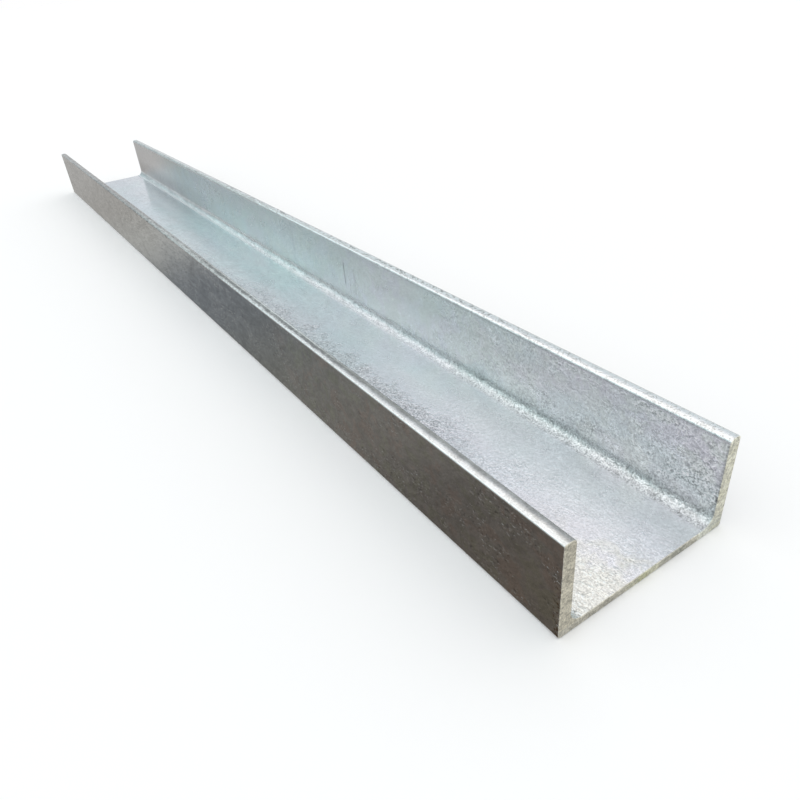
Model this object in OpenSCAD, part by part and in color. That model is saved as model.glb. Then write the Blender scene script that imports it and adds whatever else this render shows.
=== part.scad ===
/* [Section] */
// Depth of the channel, across the outer faces of the two flanges
depth = 150; // [100:1:300]
// Width of each flange, from the back of the web to the toe
flange_w = 75; // [50:1:100]
// Thickness of the web
web_t = 6; // [4:0.1:10]
// Thickness of the parallel flanges
flange_t = 9.5; // [8:0.1:16]
// Radius of the root fillets between web and flanges
root_r = 10; // [6:0.5:14]
// Radius on the inner edge of each flange toe
toe_inner_r = 3; // [1:0.5:6]
// Radius on the outer edge of each flange toe
toe_outer_r = 1.5; // [0.5:0.1:2]
// Radius on the two outer heel corners
heel_r = 2; // [0.5:0.1:3]

/* [Length] */
// Cut length of the post
post_length = 1350; // [300:10:3600]

/* [Hidden] */
$fn = 64;

// Clear width between the parallel inner faces of the flanges
clear_w = depth - 2 * flange_t;
// Corner overlap that keeps neighbouring primitives joined
lap = 0.5;

// One flange in section: inner face towards +x, heel at the origin, toe at the top.
// The toe has a large radius inside and a small one outside, and the heel a small one.
module flange_section() {
    difference() {
        square([flange_t, flange_w]);
        // toe, inner edge
        translate([flange_t - toe_inner_r, flange_w - toe_inner_r])
            corner_waste(toe_inner_r);
        // toe, outer edge
        translate([toe_outer_r, flange_w - toe_outer_r])
            mirror([1, 0]) corner_waste(toe_outer_r);
        // heel
        translate([heel_r, heel_r])
            rotate(180) corner_waste(heel_r);
    }
}

// What a convex radius r takes off a corner whose arc is centred on the origin
module corner_waste(r) {
    difference() {
        square([r + lap, r + lap]);
        circle(r = r);
    }
}

// What a concave root radius adds to an inside corner at the origin, towards +x +y
module root_section(r) {
    difference() {
        translate([-lap, -lap]) square([r + lap, r + lap]);
        translate([r, r]) circle(r = r);
    }
}

// The half of the section on one side of the middle of the web
module half_section() {
    flange_section();
    translate([flange_t - lap, 0]) square([depth / 2 - flange_t + lap, web_t]);
    translate([flange_t, web_t]) root_section(root_r);
}

// Parallel flange channel section, web down, centred on the y axis
module channel_section() {
    translate([-depth / 2, 0]) half_section();
    translate([depth / 2, 0]) mirror([1, 0]) half_section();
}

// The rolled channel, sawn square at both ends, lying on its web along X
module channel() {
    color([0.71, 0.75, 0.77])
        rotate([90, 0, 90])
            translate([0, 0, -post_length / 2])
                linear_extrude(height = post_length)
                    channel_section();
}

channel();
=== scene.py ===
import math

import bmesh
import bpy
import numpy as np
from mathutils import Matrix, Vector
from mathutils.geometry import delaunay_2d_cdt


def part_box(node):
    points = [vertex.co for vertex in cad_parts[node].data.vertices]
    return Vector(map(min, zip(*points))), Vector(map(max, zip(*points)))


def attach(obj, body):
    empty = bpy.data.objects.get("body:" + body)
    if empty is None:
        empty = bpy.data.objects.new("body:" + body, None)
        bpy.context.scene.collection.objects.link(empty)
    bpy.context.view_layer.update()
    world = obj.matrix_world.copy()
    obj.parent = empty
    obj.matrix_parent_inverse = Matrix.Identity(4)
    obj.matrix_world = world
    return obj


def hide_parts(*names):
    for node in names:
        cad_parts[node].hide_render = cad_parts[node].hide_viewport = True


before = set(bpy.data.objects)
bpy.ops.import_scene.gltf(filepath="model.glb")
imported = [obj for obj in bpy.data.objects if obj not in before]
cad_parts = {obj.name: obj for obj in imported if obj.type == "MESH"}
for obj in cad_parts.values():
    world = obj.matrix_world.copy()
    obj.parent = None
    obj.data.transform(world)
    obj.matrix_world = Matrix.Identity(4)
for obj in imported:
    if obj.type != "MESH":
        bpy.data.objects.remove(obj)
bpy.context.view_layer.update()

# ------------------------------------------------------------------ section
# All in metres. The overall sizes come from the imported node; the thicknesses and
# radii are those of the rolled section.
LO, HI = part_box("channel")
X0, X1 = LO.x, HI.x
HALF = HI.y            # outer face of a flange
TOP = HI.z             # toe of a flange
TF = 0.0095            # flange thickness
TW = 0.006             # web thickness
R_ROOT = 0.010
R_TOE_IN = 0.003
CROWN = 10.0           # degrees by which a toe's slightly domed top leans at its two edges
R_TOE_OUT = 0.0015
R_HEEL = 0.002
R_END = 0.0007         # rounding that the zinc leaves along the sawn edges
INNER = HALF - TF      # inner face of a flange


def arc(cy, cz, r, a0, a1, n, inside=False):
    """Points and outward normals along an arc, without its first point."""
    out = []
    for k in range(1, n + 1):
        a = math.radians(a0 + (a1 - a0) * k / n)
        s = -1.0 if inside else 1.0
        out.append((cy + r * math.cos(a), cz + r * math.sin(a), s * math.cos(a), s * math.sin(a)))
    return out


def flat(y0, z0, y1, z1, ny, nz, n):
    """Points along a straight stretch, without its first point."""
    return [(y0 + (y1 - y0) * k / n, z0 + (z1 - z0) * k / n, ny, nz) for k in range(1, n + 1)]


def ring_points():
    """The section's outline, counter-clockwise seen from +X, from the inner side of the -Y toe."""
    # A toe: a dome of large radius between a small outer and a larger inner rounding.
    lean = math.sin(math.radians(CROWN))
    half = (TF - (R_TOE_IN + R_TOE_OUT) * (1 - lean)) / 2
    dome = half / lean
    drop = dome * (1 - math.cos(math.radians(CROWN)))
    mid = HALF - R_TOE_OUT * (1 - lean) - half
    out_y, out_z = HALF - R_TOE_OUT, TOP - drop - R_TOE_OUT * math.cos(math.radians(CROWN))
    in_y, in_z = INNER + R_TOE_IN, TOP - drop - R_TOE_IN * math.cos(math.radians(CROWN))
    p = []
    p += arc(-mid, TOP - dome, dome, 90 - CROWN, 90 + CROWN, 5)
    p += arc(-out_y, out_z, R_TOE_OUT, 90 + CROWN, 180, 3)
    p += flat(-HALF, out_z, -HALF, R_HEEL, -1, 0, 17)
    p += arc(-HALF + R_HEEL, R_HEEL, R_HEEL, 180, 270, 3)
    p += flat(-HALF + R_HEEL, 0, HALF - R_HEEL, 0, 0, -1, 20)
    p += arc(HALF - R_HEEL, R_HEEL, R_HEEL, 270, 360, 3)
    p += flat(HALF, R_HEEL, HALF, out_z, 1, 0, 17)
    p += arc(out_y, out_z, R_TOE_OUT, 0, 90 - CROWN, 3)
    p += arc(mid, TOP - dome, dome, 90 - CROWN, 90 + CROWN, 5)
    p += arc(in_y, in_z, R_TOE_IN, 90 + CROWN, 180, 4)
    p += flat(INNER, in_z, INNER, TW + R_ROOT, -1, 0, 15)
    p += arc(INNER - R_ROOT, TW + R_ROOT, R_ROOT, 0, -90, 8, inside=True)
    p += flat(INNER - R_ROOT, TW, -INNER + R_ROOT, TW, 0, 1, 30)
    p += arc(-INNER + R_ROOT, TW + R_ROOT, R_ROOT, 270, 180, 8, inside=True)
    p += flat(-INNER, TW + R_ROOT, -INNER, in_z, 1, 0, 15)
    p += arc(-in_y, in_z, R_TOE_IN, 0, 90 - CROWN, 4)
    a = np.array(p)
    return a[:, :2], a[:, 2:]


# ------------------------------------------------------------------ relief
_rng = np.random.RandomState(20240917)
_perm = np.concatenate([_rng.permutation(256)] * 3)
_grad = _rng.normal(size=(256, 3))
_grad /= np.linalg.norm(_grad, axis=1)[:, None]


def noise3(p):
    """Gradient noise, about -0.8 to 0.8, at an array of points in units of its wavelength."""
    q = np.floor(p).astype(int)
    f = p - q
    q &= 255
    w = f * f * f * (f * (f * 6 - 15) + 10)
    total = 0.0
    for dx in (0, 1):
        for dy in (0, 1):
            for dz in (0, 1):
                h = _perm[_perm[_perm[(q[:, 0] + dx) & 255] + ((q[:, 1] + dy) & 255)] + ((q[:, 2] + dz) & 255)]
                g = _grad[h]
                d = (f[:, 0] - dx) * g[:, 0] + (f[:, 1] - dy) * g[:, 1] + (f[:, 2] - dz) * g[:, 2]
                wx = w[:, 0] if dx else 1 - w[:, 0]
                wy = w[:, 1] if dy else 1 - w[:, 1]
                wz = w[:, 2] if dz else 1 - w[:, 2]
                total = total + d * wx * wy * wz
    return total * 1.6


def relief(p):
    """Height of the zinc's skin over its lowest level at points p, in metres, from 0 up.

    Long waves from the rolling and straightening, slower swells where the zinc ran, and
    small swellings of a few millimetres' thickness that a hot-dip coat sets with."""
    mm = p * 1000.0
    long_wave = noise3(mm / np.array([260.0, 95.0, 95.0]) + 3.1)
    swell = noise3(mm / np.array([62.0, 34.0, 34.0]) + 17.7)
    runs = noise3((mm + 6.0 * noise3(mm / 45.0)[:, None]) / np.array([24.0, 15.0, 15.0]) + 41.3)
    lumps = noise3(mm / 9.5 + 77.9)
    h = 0.055 * long_wave + 0.040 * swell + 0.020 * runs + 0.007 * lumps
    return np.maximum(0.13 + h, 0.0) * 0.001


def surface(base, normal, sink):
    """Moves points on the true section to the coated skin, which stays at or under it, and turns their normals to suit."""
    eps = 0.0006
    h = relief(base)
    grad = np.zeros_like(base)
    for k in range(3):
        step = np.zeros(3)
        step[k] = eps
        grad[:, k] = (relief(base + step) - relief(base - step)) / (2 * eps)
    grad -= (grad * normal).sum(1)[:, None] * normal
    top = 0.00026
    moved = base + normal * (h - top - sink)[:, None]
    n = normal - grad
    n /= np.linalg.norm(n, axis=1)[:, None]
    return moved, n


# ------------------------------------------------------------------ the mesh
def stations():
    """Distances along the post: close together near the two ends, wider between."""
    half = (X1 - X0) / 2 - R_END
    x, out = 0.0, [0.0]
    while x < half:
        d = half - x
        step = 0.00285 if d > 0.22 else 0.0014 + (0.00285 - 0.0014) * d / 0.22
        x += step
        out.append(x)
    out = np.array(out) * (half / out[-1])
    return np.concatenate([-out[:0:-1], out])


def build_channel():
    ring, ring_n = ring_points()
    r = len(ring)
    xs = stations()
    verts, norms, faces = [], [], []

    def add_ring(x, inset, tilt, side):
        """One loop of the outline at x, pulled in by inset, its normals turned towards the end by tilt."""
        base = np.empty((r, 3))
        base[:, 0] = x
        base[:, 1:] = ring
        n0 = np.zeros((r, 3))
        n0[:, 1:] = ring_n
        moved, n = surface(base, n0, inset)
        if side:
            n = n * math.cos(tilt) + np.array([side, 0, 0]) * math.sin(tilt)
            n /= np.linalg.norm(n, axis=1)[:, None]
        start = len(verts)
        verts.extend(moved.tolist())
        norms.extend(n.tolist())
        return start

    rim = [math.radians(a) for a in (90, 60, 30)]
    loops = []
    for a in rim:
        loops.append(add_ring(X0 + R_END * (1 - math.sin(a)) + 0.00003, R_END * (1 - math.cos(a)), a, -1))
    for x in xs:
        loops.append(add_ring(x, 0.0, 0.0, 0))
    for a in rim[::-1]:
        loops.append(add_ring(X1 - R_END * (1 - math.sin(a)) - 0.00003, R_END * (1 - math.cos(a)), a, 1))
    for a, b in zip(loops, loops[1:]):
        for j in range(r):
            k = (j + 1) % r
            faces.append((a + j, a + k, b + k, b + j))

    # The sawn ends: the outline filled with a fine net, which carries the saw's and the zinc's marks.
    for start, side in ((loops[0], -1), (loops[-1], 1)):
        edge = [Vector((verts[start + j][1], verts[start + j][2])) for j in range(r)]
        pitch = 0.0019
        inner = []
        ny = int((2 * HALF) / pitch)
        nz = int(TOP / pitch)
        for iy in range(ny + 1):
            for iz in range(nz + 1):
                y = -HALF + (2 * HALF) * (iy + 0.5 * (iz % 2)) / ny
                z = TOP * iz / nz
                if inside_section(y, z, 0.0017):
                    inner.append(Vector((y, z)))
        pts = edge + inner
        loop = list(range(r))
        res = delaunay_2d_cdt(pts, [], [loop], 1, 1e-7)
        out_pts, out_faces, orig = res[0], res[2], res[3]
        index = {}
        for i, p in enumerate(out_pts):
            src = [o for o in orig[i] if o < r] if orig[i] else []
            if src:
                index[i] = start + src[0]
            else:
                index[i] = len(verts)
                base = np.array([[X1 if side > 0 else X0, p.x, p.y]])
                h = end_relief(base, side)
                verts.append([base[0, 0] - side * (0.00003 + h[0]), p.x, p.y])
                norms.append([0, 0, 0])
        for f in out_faces:
            idx = [index[i] for i in f]
            a, b, c = (verts[idx[0]], verts[idx[1]], verts[idx[2]])
            turn = (b[1] - a[1]) * (c[2] - a[2]) - (b[2] - a[2]) * (c[1] - a[1])
            if (turn > 0) != (side > 0):
                idx = idx[::-1]
            faces.append(tuple(idx))
        for i, v in index.items():
            if norms[v] == [0, 0, 0]:
                norms[v] = end_normal(verts[v], side)

    me = bpy.data.meshes.new("channel_body")
    me.from_pydata(verts, [], faces)
    me.validate()
    me.polygons.foreach_set("use_smooth", np.ones(len(me.polygons), bool))
    me.normals_split_custom_set_from_vertices(norms)
    me.update()
    o = bpy.data.objects.new("channel_body", me)
    bpy.context.scene.collection.objects.link(o)
    return o


def inside_section(y, z, m):
    """True if (y, z) is in the section by at least m."""
    y = abs(y)
    if y > HALF - m or z < m or z > TOP - m:
        return False
    if y >= INNER + m or z <= TW - m:
        return True
    # the root fillet
    cy, cz = INNER - R_ROOT, TW + R_ROOT
    if y > cy and z < cz:
        return math.hypot(y - cy, z - cz) > R_ROOT + m
    return False


def end_relief(p, side):
    """How far the sawn face is below its highest level: blade marks across it, under lumpy zinc."""
    mm = p * 1000.0
    shift = 0.0 if side > 0 else 53.0
    saw = noise3(np.stack([mm[:, 0] * 0 + 5 + shift, (mm[:, 1] * 0.35 + mm[:, 2]) / 2.6, mm[:, 1] / 60.0], 1))
    lumps = noise3(mm / 5.5 + 11.0 + shift)
    return np.clip(0.10 + 0.05 * saw + 0.09 * lumps, 0.0, 0.3) * 0.001


def end_normal(p, side):
    eps = 0.0005
    base = np.array([[p[0], p[1], p[2]]])
    gy = (end_relief(base + [[0, eps, 0]], side) - end_relief(base - [[0, eps, 0]], side))[0] / (2 * eps)
    gz = (end_relief(base + [[0, 0, eps]], side) - end_relief(base - [[0, 0, eps]], side))[0] / (2 * eps)
    n = np.array([side, gy, gz])
    return (n / np.linalg.norm(n)).tolist()


# ------------------------------------------------------------------ material
class Net:
    """Short hand for building a node tree."""

    def __init__(self, tree):
        self.t = tree
        self.x = 0

    def node(self, kind, **props):
        n = self.t.nodes.new(kind)
        self.x += 40
        n.location = (self.x, 0)
        for k, v in props.items():
            setattr(n, k, v)
        return n

    def link(self, a, b):
        self.t.links.new(a, b)

    def put(self, socket, value):
        if isinstance(value, bpy.types.NodeSocket):
            self.link(value, socket)
        else:
            socket.default_value = value

    def math(self, op, a, b=None, c=None, clamp=False):
        n = self.node("ShaderNodeMath", operation=op, use_clamp=clamp)
        self.put(n.inputs[0], a)
        if b is not None:
            self.put(n.inputs[1], b)
        if c is not None:
            self.put(n.inputs[2], c)
        return n.outputs[0]

    def step(self, v, lo, hi, a=0.0, b=1.0):
        """a below lo, b above hi, smooth between."""
        n = self.node("ShaderNodeMapRange", interpolation_type="SMOOTHSTEP")
        self.put(n.inputs["Value"], v)
        n.inputs["From Min"].default_value = lo
        n.inputs["From Max"].default_value = hi
        n.inputs["To Min"].default_value = a
        n.inputs["To Max"].default_value = b
        return n.outputs["Result"]

    def remap(self, v, lo, hi, a, b, clamp=True):
        n = self.node("ShaderNodeMapRange", clamp=clamp)
        self.put(n.inputs["Value"], v)
        n.inputs["From Min"].default_value = lo
        n.inputs["From Max"].default_value = hi
        n.inputs["To Min"].default_value = a
        n.inputs["To Max"].default_value = b
        return n.outputs["Result"]

    def noise(self, vec, mm, detail=2.0, rough=0.5, distortion=0.0, lac=2.0):
        """Noise with features about mm millimetres across, 0 to 1 about 0.5."""
        n = self.node("ShaderNodeTexNoise", noise_dimensions="3D")
        self.put(n.inputs["Vector"], vec)
        n.inputs["Scale"].default_value = 1000.0 / mm
        n.inputs["Detail"].default_value = detail
        n.inputs["Roughness"].default_value = rough
        n.inputs["Lacunarity"].default_value = lac
        n.inputs["Distortion"].default_value = distortion
        return n

    def voronoi(self, vec, mm, feature="F1", randomness=1.0, smooth=None):
        n = self.node("ShaderNodeTexVoronoi", feature=feature)
        self.put(n.inputs["Vector"], vec)
        n.inputs["Scale"].default_value = 1000.0 / mm
        n.inputs["Randomness"].default_value = randomness
        if smooth is not None:
            n.inputs["Smoothness"].default_value = smooth
        return n

    def mapping(self, vec, scale=(1, 1, 1), rot=(0, 0, 0), loc=(0, 0, 0)):
        n = self.node("ShaderNodeMapping")
        self.put(n.inputs["Vector"], vec)
        n.inputs["Scale"].default_value = scale
        n.inputs["Rotation"].default_value = [math.radians(a) for a in rot]
        n.inputs["Location"].default_value = loc
        return n.outputs[0]

    def mix(self, fac, a, b, blend="MIX"):
        n = self.node("ShaderNodeMix", data_type="RGBA", blend_type=blend)
        self.put(n.inputs[0], fac)
        self.put(n.inputs[6], a if isinstance(a, bpy.types.NodeSocket) else (*a, 1.0))
        self.put(n.inputs[7], b if isinstance(b, bpy.types.NodeSocket) else (*b, 1.0))
        return n.outputs[2]

    def mixf(self, fac, a, b):
        n = self.node("ShaderNodeMix", data_type="FLOAT")
        self.put(n.inputs[0], fac)
        self.put(n.inputs[2], a)
        self.put(n.inputs[3], b)
        return n.outputs[0]

    def gain(self, colour, value):
        """colour times a number."""
        n = self.node("ShaderNodeVectorMath", operation="SCALE")
        self.put(n.inputs[0], colour)
        self.put(n.inputs["Scale"], value)
        return n.outputs[0]

    def bump(self, height, metres, strength=1.0, normal=None):
        n = self.node("ShaderNodeBump")
        self.put(n.inputs["Height"], height)
        n.inputs["Distance"].default_value = metres
        self.put(n.inputs["Strength"], strength)
        if normal is not None:
            self.link(normal, n.inputs["Normal"])
        return n.outputs[0]


def zinc_material():
    mat = bpy.data.materials.new("galvanised_zinc")
    mat.use_nodes = True
    mat.node_tree.nodes.clear()
    g = Net(mat.node_tree)
    out = g.node("ShaderNodeOutputMaterial")
    bsdf = g.node("ShaderNodeBsdfPrincipled")
    g.link(bsdf.outputs[0], out.inputs["Surface"])

    pos = g.node("ShaderNodeTexCoord").outputs["Object"]
    sep = g.node("ShaderNodeSeparateXYZ")
    g.link(pos, sep.inputs[0])
    X, Y, Z = sep.outputs
    aX, aY = g.math("ABSOLUTE", X), g.math("ABSOLUTE", Y)

    def mul(a, *more):
        for b in more:
            a = g.math("MULTIPLY", a, b)
        return a

    def add(a, *more):
        for b in more:
            a = g.math("ADD", a, b)
        return a

    def inv(a):
        return g.math("SUBTRACT", 1.0, a)

    def centred(n, lo, hi):
        """A noise with its contrast raised: -0.5 to 0.5, flat outside lo and hi."""
        return g.math("SUBTRACT", g.step(n, lo, hi), 0.5)

    def between(v, a, b, c, d):
        """1 from b to c, falling to 0 at a and at d."""
        return mul(g.step(v, a, b), g.step(v, c, d, 1.0, 0.0))

    # --- where on the section
    toe = g.step(Z, TOP - 0.0034, TOP - 0.0012)
    outer = g.step(aY, HALF - 0.0026, HALF - 0.0010)
    web_in = mul(g.step(aY, INNER - R_ROOT - 0.0005, INNER - 0.0040, 1.0, 0.0), g.step(Z, 0.003, 0.0055))
    fillet = mul(between(aY, INNER - R_ROOT - 0.0010, INNER - R_ROOT + 0.0020, INNER + 0.0015, INNER + 0.0035),
                 between(Z, 0.0035, 0.0055, TW + 0.0055, TW + R_ROOT - 0.0005))
    inside = mul(g.step(aY, HALF - 0.0060, HALF - 0.0035, 1.0, 0.0), g.step(Z, 0.0035, 0.0055))
    side = mul(inside, g.step(Z, TW + 0.0055, TW + R_ROOT - 0.0005), g.step(Z, TOP - 0.0050, TOP - 0.0030, 1.0, 0.0))
    end = g.step(aX, X1 - 0.0009, X1 - 0.0003)
    pos_side = g.step(Y, -0.02, 0.02)
    neg_side = inv(pos_side)
    worn = mul(outer, g.mixf(pos_side, 1.0, 0.40))      # the -Y outer face is the rougher of the two

    # --- noises, coarse to fine
    broad = g.noise(g.mapping(pos, scale=(0.6, 1.0, 1.0), loc=(0.7, 0.2, 5.1)), 95, 2.0, 0.5).outputs["Fac"]
    broad2 = g.noise(g.mapping(pos, scale=(0.5, 1.0, 1.0), loc=(2.1, 4.2, 1.3)), 60, 2.0, 0.55, 0.5).outputs["Fac"]
    patch = g.noise(g.mapping(pos, scale=(0.7, 1.0, 1.0), loc=(3.3, 0.6, 0.2)), 27, 3.0, 0.6, 0.6).outputs["Fac"]
    warp = g.noise(pos, 15, 2.0, 0.5)
    warped = g.node("ShaderNodeVectorMath", operation="MULTIPLY_ADD")
    g.link(warp.outputs["Color"], warped.inputs[0])
    warped.inputs[1].default_value = (0.006, 0.006, 0.006)
    g.link(pos, warped.inputs[2])
    wpos = warped.outputs[0]
    cloud = g.noise(wpos, 16, 3.0, 0.55, 0.6).outputs["Fac"]
    worm = g.noise(g.mapping(wpos, scale=(0.75, 1.0, 1.0)), 4.6, 2.0, 0.60, 0.9).outputs["Fac"]
    pebble = g.noise(g.mapping(wpos, loc=(0.5, 0.1, 0.9), scale=(0.8, 1.0, 1.0)), 2.3, 2.0, 0.6, 0.5).outputs["Fac"]
    grain = g.noise(pos, 1.25, 1.0, 0.6).outputs["Fac"]
    # the same place with lengths drawn out away from the head end and sloping down towards the foot end, as the coat's streaks do
    wsep = g.node("ShaderNodeSeparateXYZ")
    g.link(wpos, wsep.inputs[0])
    ahead = g.math("SMOOTH_MAX", g.math("SUBTRACT", wsep.outputs[0], 0.30), 0.0, 0.20)
    flow_v = g.node("ShaderNodeCombineXYZ")
    drawn = g.math("MULTIPLY_ADD", ahead, 0.50, g.math("MULTIPLY", wsep.outputs[0], 0.25))
    g.link(mul(drawn, g.mixf(web_in, 1.0, 1.7)), flow_v.inputs[0])
    g.link(wsep.outputs[1], flow_v.inputs[1])
    g.link(g.math("MULTIPLY_ADD", mul(drawn, outer), -0.50, wsep.outputs[2]), flow_v.inputs[2])
    flow = flow_v.outputs[0]
    chop = g.noise(g.mapping(flow, loc=(0.3, 1.2, 1.8)), 6.0, 2.0, 0.55, 0.8).outputs["Fac"]
    swirl = g.noise(g.mapping(flow, loc=(2.2, 0.9, 0.6)), 13.0, 3.0, 0.6, 1.4).outputs["Fac"]
    dab = g.noise(g.mapping(flow, loc=(4.2, 0.5, 1.6)), 3.2, 1.0, 0.5, 0.7).outputs["Fac"]

    # --- how rough the coat is, from place to place: 0 is smooth, 1 is the coarse skin near the head end
    wob = g.math("MULTIPLY_ADD", broad, 0.24, -0.12)
    wob2 = g.math("MULTIPLY_ADD", cloud, 0.10, -0.05)
    head = g.step(add(X, wob, wob2), 0.30, 0.56)
    head2 = g.step(add(X, wob2), 0.55, 0.64)
    patches = g.step(patch, 0.46, 0.60)
    side_p = add(mul(head, patches, 0.70), mul(head, 0.25), mul(head2, 0.35), mul(patches, 0.12), 0.10)
    coarse_side = mul(side, g.mixf(pos_side, g.step(broad, 0.42, 0.62), side_p))
    # the web: a coarse patch in the corner at the head end, and a band along the -Y flange
    near_corner = mul(g.step(add(X, wob2), 0.575, 0.650), g.step(add(Y, wob2), 0.005, -0.030))
    band = mul(g.step(add(Y, mul(wob2, 0.50)), -0.007, 0.007, 1.0, 0.0), g.step(add(Y, mul(wob, 0.16), mul(wob2, 0.4)), -0.044, -0.014), between(add(X, mul(wob2, 0.6)), 0.02, 0.16, 0.44, 0.56))
    strip = mul(g.step(add(Y, mul(wob2, 0.15)), -0.0065, -0.0025, 1.0, 0.0), g.step(add(Y, mul(wob, 0.12)), -0.036, -0.016), between(X, -0.35, -0.15, 0.02, 0.16))
    coarse_web = mul(web_in, add(mul(near_corner, 0.42), mul(band, 1.00), mul(strip, 0.45), mul(patches, head, 0.25), mul(head, 0.12), g.remap(X, -0.2, 0.3, 0.03, 0.10)))
    coarse_fil = mul(fillet, add(g.remap(X, -0.30, 0.10, 0.15, 0.80), mul(head, 0.35)))
    coarse_out = mul(outer, g.remap(patch, 0.45, 0.65, 0.12, 0.60))
    coarse = add(coarse_side, coarse_web, coarse_fil, coarse_out, mul(toe, g.mixf(mul(neg_side, g.step(X, 0.30, 0.50)), 0.28, 0.05)), 0.03)

    # --- colour of the zinc
    lav = mul(g.step(broad, 0.42, 0.60), g.remap(X, 0.1, 0.45, 0.45, 1.0))
    neut = g.step(broad2, 0.42, 0.62, 0.0, 0.8)
    wall_c = g.mix(neut, g.mix(lav, (0.748, 0.800, 0.795), (0.788, 0.778, 0.816)), (0.795, 0.790, 0.798))
    web_c = g.mix(neut, g.mix(lav, (0.770, 0.802, 0.824), (0.815, 0.785, 0.845)), (0.815, 0.800, 0.828))
    web_c = g.mix(mul(g.step(X, 0.36, 0.52), 0.55), web_c, (0.815, 0.790, 0.838))
    colour = g.mix(g.step(aY, INNER - 0.0020, INNER - R_ROOT), wall_c, web_c)
    hue = g.noise(g.mapping(pos, loc=(5.3, 2.6, 0.4)), 32, 2.0, 0.55, 0.4).outputs["Fac"]
    hue2 = g.noise(g.mapping(pos, loc=(1.3, 0.6, 2.4)), 11, 2.0, 0.6, 0.6).outputs["Fac"]
    hues = g.math("MULTIPLY_ADD", hue2, 0.45, g.math("MULTIPLY_ADD", hue, 0.55, 0.0))
    c_out = g.mix(g.step(hues, 0.42, 0.49), (0.866, 0.800, 0.792), (0.824, 0.826, 0.846))
    c_out = g.mix(g.step(hues, 0.51, 0.58), c_out, (0.812, 0.836, 0.786))
    c_far = g.mix(g.step(X, -0.10, 0.02), (0.800, 0.795, 0.785), (0.782, 0.796, 0.812))
    colour = g.mix(outer, colour, g.mix(g.step(add(X, mul(wob2, 0.5)), 0.29, 0.37), c_far, c_out))
    colour = g.mix(mul(side, g.step(hues, 0.44, 0.56), 0.7), colour, (0.758, 0.795, 0.762))
    colour = g.mix(mul(side, g.step(add(X, mul(wob2, 0.5)), -0.36, -0.54), 0.85), colour, (0.815, 0.780, 0.772))
    # painted reflection: a cream tint low in the head-end corner of the -Y side, for the warm light reflected there
    colour = g.mix(mul(near_corner, inside, g.step(Z, 0.030, 0.018), 0.85), colour, (0.915, 0.880, 0.815))

    skin = mul(coarse, g.remap(outer, 0.0, 1.0, 1.0, 0.35))
    tone = mul(centred(worm, 0.38, 0.64), g.math("MULTIPLY_ADD", skin, 0.10, 0.015))
    tone = add(tone, mul(centred(pebble, 0.34, 0.66), g.math("MULTIPLY_ADD", skin, 0.22, 0.020)))
    tone = add(tone, mul(centred(grain, 0.33, 0.67), g.math("MULTIPLY_ADD", skin, 0.36, 0.060)))
    tone = add(tone, mul(centred(cloud, 0.36, 0.64), 0.04), 1.0)
    far = g.step(X, 0.45, 0.10)
    tone = add(tone, mul(web_in, g.remap(X, 0.0, 0.5, 0.125, 0.0)), mul(band, web_in, -0.15), mul(strip, web_in, g.remap(X, -0.30, 0.0, 0.08, -0.04)))
    tone = add(tone, mul(centred(chop, 0.38, 0.62), add(mul(worn, 0.09), mul(web_in, far, 0.08), mul(fillet, 0.16))))
    tone = add(tone, mul(centred(swirl, 0.38, 0.62), add(mul(worn, g.remap(X, 0.10, 0.45, 0.16, 0.12)), mul(web_in, far, 0.05), mul(fillet, far, 0.14))))
    tone = add(tone, mul(centred(dab, 0.38, 0.62), add(mul(worn, 0.08), mul(web_in, far, 0.06), mul(fillet, far, 0.12))))
    tone = add(tone, mul(web_in, far, g.step(Y, 0.015, 0.030), 0.04), mul(web_in, g.step(X, -0.15, -0.30), between(Y, -0.040, -0.025, 0.015, 0.030), -0.03))
    # painted highlight: the -Y fillet at the head-end corner is painted lighter, covering a dark reflection there
    tone = add(tone, mul(near_corner, fillet, 0.20))
    # sparse pale and dark marks along the outer faces, away from the head end
    ridge = g.noise(g.mapping(flow, loc=(0.7, 3.1, 0.9)), 8.0, 2.0, 0.6, 2.0).outputs["Fac"]
    tone = add(tone, mul(worn, far, g.math("SUBTRACT", mul(g.step(ridge, 0.570, 0.64), 0.15), mul(g.step(ridge, 0.41, 0.34), 0.15))))
    wrinkle = g.noise(g.mapping(flow, loc=(1.4, 2.6, 0.2), scale=(0.8, 1.0, 1.6)), 6.5, 2.0, 0.6, 2.4).outputs["Fac"]
    tone = add(tone, mul(outer, neg_side, between(add(X, mul(Z, -2.2)), -0.42, -0.34, -0.10, -0.02), g.step(Z, 0.026, 0.046), centred(wrinkle, 0.44, 0.58), 0.36))
    tone = add(tone, mul(outer, far, centred(patch, 0.40, 0.62), 0.10), mul(outer, far, centred(hue2, 0.36, 0.64), 0.08))
    # painted reflection: the -Y outer face is painted darker from a slanting edge past its middle to the head end, and
    # paler for a stretch on the foot side of it, for the edge between reflected ground and sky
    past = add(X, mul(Z, -2.95), mul(wob2, 0.35), mul(centred(swirl, 0.36, 0.64), 0.035), 0.123)
    tone = add(tone, mul(outer, neg_side, g.math("SUBTRACT", mul(between(past, -0.22, -0.03, -0.012, 0.008), 0.10), mul(between(past, -0.008, 0.012, 0.04, 0.26), 0.09))))
    # painted highlight and shade: the fillet is set darker overall, lighter in the middle of the post, and lighter
    # along its upper part away from the head end, setting how bright its reflection shows
    tone = add(tone, mul(fillet, add(mul(between(X, -0.48, -0.10, 0.20, 0.50), 0.12), -0.09,
                                     mul(g.step(Z, 0.0105, 0.0130), g.step(X, 0.46, 0.38), 0.22))))
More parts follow.
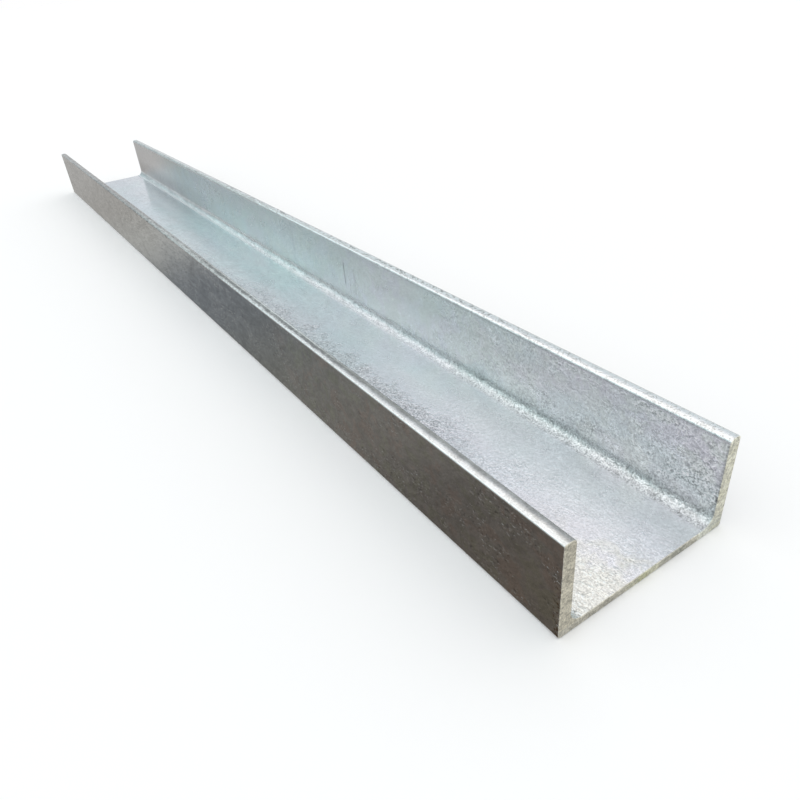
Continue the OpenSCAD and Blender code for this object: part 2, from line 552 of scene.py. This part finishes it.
    # the inner face: paler along its top near the head end, darker below and brighter above towards the foot end
    tone = add(tone, mul(side, pos_side, add(
        g.remap(X, -0.4, 0.5, -0.09, -0.03), mul(between(X, -0.30, -0.10, 0.20, 0.35), -0.035),
        mul(g.step(Z, 0.050, 0.066), g.step(X, 0.16, 0.32), 0.10),
        mul(g.step(Z, 0.050, 0.020), g.step(X, -0.08, -0.34), g.step(X, -0.63, -0.55), -0.15),
        mul(g.step(X, -0.34, -0.56), g.step(Z, 0.020, 0.045), 0.22))))
    # pale flecks and dark pits, in groups, on the outer faces: painted glints and painted shade of small zinc pocks,
    # whose bumps are also drawn as relief
    fleck = g.noise(g.mapping(wpos, loc=(1.9, 0.4, 2.2), scale=(0.8, 1.0, 1.0)), 2.2, 1.0, 0.5, 0.6).outputs["Fac"]
    group = mul(worn, g.step(patch, 0.48, 0.56))
    pock_glint = mul(group, g.step(fleck, 0.62, 0.70))
    pock_shade = mul(group, g.step(fleck, 0.38, 0.30))
    tone = add(tone, mul(pock_glint, 0.62), mul(pock_shade, -0.36), mul(outer, between(X, -0.20, -0.05, 0.20, 0.36), 0.06))
    # pale and brown chips along the upright edge at the head end
    chip = mul(outer, neg_side, g.step(X, X1 - 0.0075, X1 - 0.0040), g.step(Z, 0.050, 0.040))

    # faint dark lines down the inner faces, where the flux ran off
    def run(x0, z0, z1, width, depth):
        dx = g.math("SUBTRACT", add(X, mul(wob2, 0.03)), x0)
        line = g.step(g.math("ABSOLUTE", dx), width * 0.3, width, 1.0, 0.0)
        return mul(line, between(Z, z0 - 0.004, z0 + 0.004, z1 - 0.004, z1 + 0.004), side, pos_side, depth)
    tone = add(tone, run(0.194, 0.026, 0.055, 0.0019, -0.34), run(0.2165, 0.020, 0.050, 0.0024, -0.12),
               run(0.205, 0.018, 0.034, 0.0016, -0.14), run(0.062, 0.016, 0.070, 0.0035, -0.07),
               run(-0.18, 0.020, 0.060, 0.003, -0.05))
    tone = add(tone, mul(side, pos_side, g.step(add(X, mul(wob2, 0.01)), X1 - 0.0026, X1 - 0.0012), -0.30))
    colour = g.gain(colour, tone)
    colour = g.mix(mul(chip, g.step(pebble, 0.46, 0.40), 0.8), colour, (0.42, 0.28, 0.16))
    colour = g.mix(mul(chip, g.step(pebble, 0.54, 0.60), 0.9), colour, (0.97, 0.95, 0.88))

    # --- roughness
    rough = g.remap(cloud, 0.3, 0.7, 0.27, 0.21)
    rough = add(rough, mul(coarse, 0.06), mul(side, pos_side, g.step(X, -0.20, -0.50), 0.14), mul(fillet, g.step(X, -0.05, -0.30), 0.09))
    rough = g.math("SUBTRACT", rough, mul(web_in, g.step(X, -0.20, -0.40), 0.08))
    rough_out = add(g.remap(cloud, 0.3, 0.7, 0.10, 0.14), mul(g.step(X, 0.10, 0.40), 0.06), mul(outer, pos_side, 0.08))
    rough = g.mixf(outer, rough, rough_out)

    # --- toes: painted bright, a painted highlight for the sky they reflect; darker along the -Y toe towards the foot end
    toe_darker_to_foot = mul(neg_side, g.step(add(X, mul(wob2, 0.6)), 0.12, 0.30, 1.0, 0.0))
    smooth_toe = mul(neg_side, g.step(X, 0.30, 0.50))
    toe_t = add(mul(centred(pebble, 0.36, 0.64), g.mixf(smooth_toe, 0.40, 0.10)), mul(centred(grain, 0.35, 0.65), g.mixf(smooth_toe, 0.30, 0.12)),
                mul(centred(cloud, 0.4, 0.6), 0.12), mul(centred(dab, 0.38, 0.62), g.remap(X, 0.0, 0.4, 0.20, 0.08)), 1.0)
    # painted highlight: the toes' colour is near white so their reflection shows as a bright highlight
    toe_col = g.mix(toe_darker_to_foot, (1.0, 0.990, 0.975), g.mix(g.step(X, -0.45, -0.10), (0.620, 0.594, 0.582), (0.680, 0.660, 0.645)))
    # painted shade: the inner half of the -Y toe is painted dark for the darker reflection of its inward-turned
    # rounding; the inner half of the +Y toe is darker towards the foot end
    edge_at = add(aY, mul(wob2, 0.02))
    toe_shade_n = mul(neg_side, g.step(edge_at, 0.0686, 0.0733, 1.0, 0.0), g.step(X, 0.34, 0.48))
    toe_shade_n2 = mul(neg_side, between(edge_at, 0.0682, 0.0694, 0.0712, 0.0732), between(X, 0.08, 0.18, 0.36, 0.50))
    toe_shade_line_n = mul(neg_side, between(edge_at, 0.0678, 0.0688, 0.0696, 0.0708), g.step(X, 0.20, 0.08), g.remap(worm, 0.40, 0.55, 0.25, 1.0))
    toe_inner_darker_p = mul(pos_side, g.step(edge_at, 0.0655, 0.0700, 1.0, 0.0), g.step(X, 0.10, -0.08))
    edge_p = mul(pos_side, between(edge_at, 0.0692, 0.0704, 0.0730, 0.0742), centred(g.math("MULTIPLY_ADD", worm, 0.6, mul(dab, 0.4)), 0.45, 0.55), between(X, -0.35, -0.10, 0.40, 0.62))
    edge_n = mul(neg_side, between(edge_at, 0.0730, 0.0742, 0.0760, 0.0770), g.step(worm, 0.42, 0.54), between(X, -0.62, -0.50, 0.0, 0.12))
    # painted highlight: a pale band along the inner rounding of the +Y toe for the sky it reflects, toned down towards
    # the foot end
    toe_t = add(toe_t, mul(toe_shade_n, g.remap(X, 0.45, 0.66, -0.60, -0.45)), mul(toe_shade_n2, -0.62), mul(toe_shade_line_n, -0.48), mul(toe_inner_darker_p, -0.22), mul(edge_p, 0.95), mul(pos_side, between(edge_at, 0.0648, 0.0660, 0.0680, 0.0692), between(X, -0.05, 0.08, 0.34, 0.48), 0.07), mul(edge_n, -0.30), mul(neg_side, between(X, -0.42, -0.34, -0.08, 0.02), -0.10))
    toe_t = add(toe_t, mul(neg_side, g.step(X, -0.02, -0.20), between(edge_at, 0.0698, 0.0712, 0.0738, 0.0748), -0.20),
                mul(pos_side, g.step(X, 0.0, -0.25), g.step(edge_at, 0.0728, 0.0665), -0.22))
    toe_t = g.math("MAXIMUM", toe_t, 0.30)
    toe_t = add(toe_t, mul(pos_side, g.step(aY, 0.0685, 0.0705), 0.10), mul(toe_darker_to_foot, g.step(X, -0.25, -0.60), 0.10))
    toe_col = g.gain(toe_col, toe_t)
    toe_col = g.mix(mul(toe_inner_darker_p, 0.5), toe_col, (0.800, 0.740, 0.720))
    toe_col = g.mix(mul(neg_side, g.step(X, -0.02, -0.20), 0.6), toe_col, g.gain((0.660, 0.612, 0.585), toe_t))
    # painted shade: dark brown-grey over the inner half of the -Y toe near the head end
    toe_col = g.mix(mul(toe_shade_n, 0.35), toe_col, (0.520, 0.485, 0.450))
    colour = g.mix(toe, colour, toe_col)
    rough = g.mixf(toe, rough, 0.19)

    # --- specks: dust, rust freckles and bright nicks
    def specks(loc, mm, lo, hi, share):
        v = g.voronoi(g.mapping(wpos, loc=loc), mm)
        rnd = g.node("ShaderNodeSeparateColor")
        g.link(v.outputs["Color"], rnd.inputs[0])
        return mul(g.step(v.outputs["Distance"], lo, hi, 1.0, 0.0), g.step(rnd.outputs[0], 1.0 - share, 1.02 - share)), rnd.outputs[1]
    s1, r1 = specks((0.31, 0.77, 0.13), 5.0, 0.10, 0.20, 0.30)
    s2, r2 = specks((0.91, 0.27, 0.53), 9.0, 0.06, 0.12, 0.35)
    where = mul(g.remap(outer, 0.0, 1.0, 0.06, 0.70), g.remap(patch, 0.45, 0.6, 0.3, 1.0))
    colour = g.mix(mul(s1, where), colour, g.mix(g.step(r1, 0.36, 0.38), (0.40, 0.27, 0.14), (0.97, 0.96, 0.90)))
    colour = g.mix(mul(s2, where), colour, g.mix(g.step(r2, 0.50, 0.52), (0.36, 0.24, 0.15), (0.98, 0.97, 0.93)))

    # --- sawn ends: duller, with a yellowish passivated film
    e_n = g.noise(g.mapping(pos, scale=(1.0, 0.5, 1.0)), 7, 3.0, 0.6, 0.5).outputs["Fac"]
    e_n2 = g.noise(g.mapping(pos, loc=(0.4, 0, 0)), 30, 2.0, 0.5).outputs["Fac"]
    low = g.step(add(Z, mul(wob2, 0.03)), 0.0045, 0.0065, 1.0, 0.0)
    end_col = g.mix(g.step(Y, 0.045, 0.062), (0.640, 0.600, 0.495), (0.835, 0.815, 0.690))
    end_col = g.mix(mul(g.step(Y, 0.045, 0.055), g.step(Z, 0.016, 0.006), 0.9), end_col, (0.700, 0.710, 0.630))
    end_col = g.mix(mul(low, g.step(Y, 0.050, 0.040), 0.9), end_col, (0.580, 0.555, 0.480))
    end_col = g.mix(mul(between(Y, 0.009, 0.017, 0.040, 0.048), low, 0.9), end_col, (0.520, 0.510, 0.440))
    olive = mul(between(Y, -0.022, -0.012, 0.009, 0.015), low)
    end_col = g.mix(mul(olive, 0.9), end_col, g.mix(between(add(Y, mul(wob2, 0.02)), -0.009, -0.005, 0.000, 0.005), (0.745, 0.735, 0.575), (0.610, 0.610, 0.410)))
    end_col = g.mix(mul(between(Y, 0.023, 0.028, 0.034, 0.040), low, 0.8), end_col, (0.40, 0.40, 0.35))
    end_col = g.mix(mul(g.step(Y, 0.04, 0.06), g.step(e_n, 0.50, 0.64), 0.4), end_col, (0.70, 0.67, 0.50))
    e_n3 = g.noise(g.mapping(wpos, loc=(0.4, 1.7, 0.2)), 4.2, 2.0, 0.6, 0.6).outputs["Fac"]
    end_t = add(mul(centred(e_n3, 0.36, 0.64), 0.32), mul(centred(pebble, 0.36, 0.64), 0.28), mul(centred(grain, 0.35, 0.65), 0.30), 1.0)
    end_t = add(mul(g.math("SUBTRACT", end_t, 1.0), g.step(X, -0.5, 0.5, 0.65, 1.0)), mul(centred(e_n2, 0.35, 0.65), 0.12), 1.0)
    colour = g.mix(end, colour, g.gain(end_col, end_t))
    rough = g.mixf(end, rough, 0.45)
    metal = g.remap(end, 0.0, 1.0, 1.0, 0.35)

    g.link(colour, bsdf.inputs["Base Color"])
    g.link(rough, bsdf.inputs["Roughness"])
    g.link(metal, bsdf.inputs["Metallic"])

    # --- fine relief
    wave = g.noise(g.mapping(flow, loc=(1.2, 0.3, 0.8)), 17, 3.0, 0.55, 0.9).outputs["Fac"]
    n0 = g.bump(wave, 0.00060, add(mul(worn, g.remap(X, 0.10, 0.45, 0.09, 0.14)), g.mixf(outer, 0.11, 0.07)))
    n0 = g.bump(chop, 0.00034, add(mul(worn, g.remap(X, 0.10, 0.40, 0.07, 0.10)), mul(web_in, far, 0.09), mul(fillet, g.mixf(far, 0.30, 0.45))), n0)
    calm = g.remap(X, -0.2, 0.2, 0.03, 0.06)
    n1 = g.bump(g.step(worm, 0.36, 0.66), 0.00016, g.math("MULTIPLY_ADD", skin, 0.9, calm), n0)
    n2 = g.bump(g.step(pebble, 0.34, 0.66), 0.00012, g.math("MULTIPLY_ADD", skin, 0.9, calm), n1)
    n2 = g.bump(g.step(fleck, 0.60, 0.73), 0.00011, group, n2)
    n3 = g.bump(grain, 0.00006, g.math("MULTIPLY_ADD", skin, 0.8, 0.12), n2)
    g.link(n3, bsdf.inputs["Normal"])
    return mat


body = build_channel()
body.data.materials.append(zinc_material())
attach(body, "root")
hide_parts("channel")
print("channel_body triangles", sum(len(p.vertices) - 2 for p in body.data.polygons))

# ------------------------------------------------------------------ floor
floor_me = bpy.data.meshes.new("floor")
s = 60.0
floor_me.from_pydata([(-s, -s, -0.0002), (s, -s, -0.0002), (s, s, -0.0002), (-s, s, -0.0002)], [], [(0, 1, 2, 3)])
floor = bpy.data.objects.new("floor", floor_me)
bpy.context.scene.collection.objects.link(floor)
fm = bpy.data.materials.new("pale_floor")
fm.use_nodes = True
fb = fm.node_tree.nodes["Principled BSDF"]
fb.inputs["Base Color"].default_value = (0.93, 0.93, 0.93, 1)
fb.inputs["Roughness"].default_value = 0.9
fb.inputs["Specular IOR Level"].default_value = 0.0
floor_me.materials.append(fm)
floor.visible_glossy = False

# ------------------------------------------------------------------ light
world = bpy.data.worlds.new("studio")
bpy.context.scene.world = world
world.use_nodes = True
wt = world.node_tree
wt.nodes.clear()
w = Net(wt)
wout = w.node("ShaderNodeOutputWorld")
gen = w.node("ShaderNodeTexCoord").outputs["Generated"]
wsep = w.node("ShaderNodeSeparateXYZ")
w.link(gen, wsep.inputs[0])
# elevation in degrees, then the light that comes from there: on the +Y side, and on the -Y side where it differs
SKY = [
    (-90, (0.070, 0.065, 0.050)),
    (-50, (0.108, 0.092, 0.075)),
    (-42, (0.095, 0.086, 0.076)),
    (-35, (0.168, 0.158, 0.140)),
    (-29, (0.163, 0.164, 0.150)),
    (-24.0, (0.157, 0.168, 0.174)),
    (-20.5, (0.180, 0.194, 0.206)),
    (-16.5, (0.390, 0.395, 0.380)),
    (-14, (0.365, 0.358, 0.342)),
    (-9, (0.455, 0.450, 0.440)),
    (-3, (0.510, 0.515, 0.515), (0.600, 0.620, 0.640)),
    (4, (0.550, 0.565, 0.570), (0.570, 0.620, 0.630)),
    (9, (0.645, 0.648, 0.670), (0.480, 0.510, 0.530)),
    (12, (0.690, 0.712, 0.745), (0.460, 0.510, 0.550)),
    (15, (0.665, 0.755, 0.785), (0.460, 0.600, 0.660)),
    (18, (0.620, 0.730, 0.745), (0.530, 0.770, 0.800)),
    (22, (0.600, 0.680, 0.690), (0.690, 0.880, 0.895)),
    (27, (0.570, 0.620, 0.635), (0.800, 0.910, 0.925)),
    (32, (0.565, 0.622, 0.665), (0.930, 0.990, 1.010)),
    (37, (0.675, 0.728, 0.785), (1.000, 1.040, 1.070)),
    (42, (0.860, 0.880, 0.910), (1.060, 1.100, 1.130)),
    (47, (0.990, 1.000, 0.990), (1.120, 1.150, 1.160)),
    (54, (1.120, 1.150, 1.150)),
    (63, (1.120, 1.155, 1.155)),
    (71, (0.860, 0.885, 0.890)),
    (80, (0.690, 0.715, 0.725)),
    (90, (0.640, 0.665, 0.680)),
]
height = w.math("MULTIPLY_ADD", wsep.outputs[2], 0.5, 0.5)


def sky_ramp(which):
    n = w.node("ShaderNodeValToRGB")
    w.link(height, n.inputs[0])
    el = n.color_ramp.elements
    while len(el) > 1:
        el.remove(el[-1])
    for i, row in enumerate(SKY):
        at = (math.sin(math.radians(row[0])) + 1) / 2
        e = el[0] if i == 0 else el.new(at)
        e.position = at
        c = row[which] if which < len(row) else row[1]
        e.color = (*c, 1)
    return n.outputs["Color"]


sky = w.mix(w.step(wsep.outputs[1], -0.18, 0.18), sky_ramp(2), sky_ramp(1))
bg = w.node("ShaderNodeBackground")
w.link(sky, bg.inputs["Color"])
bg_even = w.node("ShaderNodeBackground")
bg_even.inputs["Color"].default_value = (1, 1, 1, 1)
bg_even.inputs["Strength"].default_value = 1.2
bg_cam = w.node("ShaderNodeBackground")
bg_cam.inputs["Color"].default_value = (1, 1, 1, 1)
lp = w.node("ShaderNodeLightPath")
ms_even = w.node("ShaderNodeMixShader")
w.link(lp.outputs["Is Diffuse Ray"], ms_even.inputs[0])
w.link(bg.outputs[0], ms_even.inputs[1])
w.link(bg_even.outputs[0], ms_even.inputs[2])
ms = w.node("ShaderNodeMixShader")
w.link(lp.outputs["Is Camera Ray"], ms.inputs[0])
w.link(ms_even.outputs[0], ms.inputs[1])
w.link(bg_cam.outputs[0], ms.inputs[2])
w.link(ms.outputs[0], wout.inputs["Surface"])

# ------------------------------------------------------------------ camera
cam_data = bpy.data.cameras.new("camera")
cam = bpy.data.objects.new("camera", cam_data)
bpy.context.scene.collection.objects.link(cam)
cam_data.sensor_width = 36.0
cam_data.lens = 30.0727
cam_data.clip_start = 0.01
cam_data.clip_end = 500
fwd = Vector((-0.719855, 0.432027, -0.543288)).normalized()
up = Vector((-0.414219, 0.360688, 0.835660))
right = fwd.cross(up).normalized()
up = right.cross(fwd).normalized()
rot = Matrix((right, up, -fwd)).transposed()
cam.matrix_world = Matrix.Translation((0.84379, -0.26644, 0.33146)) @ rot.to_4x4()
bpy.context.scene.camera = cam

bpy.context.scene.view_settings.view_transform = "Standard"
bpy.context.scene.view_settings.look = "None"
